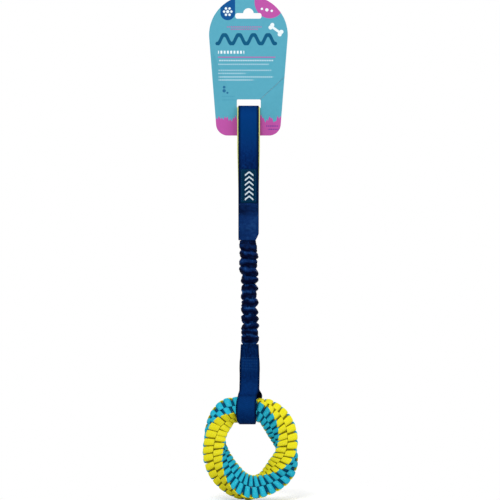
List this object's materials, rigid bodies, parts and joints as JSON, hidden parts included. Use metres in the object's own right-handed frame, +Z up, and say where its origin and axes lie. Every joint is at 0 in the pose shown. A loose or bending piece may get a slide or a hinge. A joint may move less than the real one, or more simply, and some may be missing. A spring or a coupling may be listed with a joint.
{
  "type": "bungee tug toy",
  "caption": "Tug toy on a hang card: a webbing hand loop, a ruched elastic bungee and a twisted box-stitch ring that hangs in a webbing strap.",
  "frame": {"origin": "centre of the round bump of the peg slot in the hang card, where the toy hangs on a shop's peg", "axes": "+Z up along the hanging toy, -Y out of the card's printed front, +X to the right as seen from the front"},
  "size_m": [0.1172, 0.0418, 0.6149],
  "materials": {
    "card_board": "matt printed board",
    "navy_webbing": "woven webbing",
    "lime_lining": "soft woven lining",
    "woven_label": "close weave",
    "navy_satin": "smooth ruched cloth",
    "elastic": "round elastic",
    "yellow_lace": "soft flat cord",
    "cyan_lace": "soft flat cord"
  },
  "bodies": {
    "card": {"header_card": "card_board"},
    "handle": {"handle_webbing": "navy_webbing", "handle_lining": "lime_lining", "handle_label": "woven_label", "joint_cover": "navy_satin", "bungee_upper_end": "navy_satin"},
    "bungee": {"bungee_sleeve": "navy_satin", "bungee_core": "elastic"},
    "strap": {"ring_strap": "navy_webbing", "bungee_lower_end": "navy_satin"},
    "ring": {"lace_yellow_a": "yellow_lace", "lace_yellow_b": "yellow_lace", "lace_cyan_a": "cyan_lace", "lace_cyan_b": "cyan_lace"}
  },
  "joints": [
    {"name": "handle_swing", "type": "hinge", "parent": "card", "child": "handle", "pos_m": [0.0002, 0, -0.1155], "axis": [1, 0, 0], "range_deg": [-10, 10]},
    {"name": "bungee_bend", "type": "hinge", "parent": "handle", "child": "bungee", "pos_m": [0.0002, 0, -0.2796], "axis": [1, 0, 0], "range_deg": [-70, 70]},
    {"name": "bungee_stretch", "type": "slide", "parent": "bungee", "child": "strap", "axis": [0, 0, -1], "range_m": [0, 0.1], "stiffness_N_per_m": 400, "springref_m": -0.004, "deforming": ["bungee_sleeve", "bungee_core"]},
    {"name": "ring_turn", "type": "hinge", "parent": "strap", "child": "ring", "pos_m": [-0.0017, 0, -0.4805], "axis": [1, 0, 0], "range_deg": [-100, 100]}
  ]
}
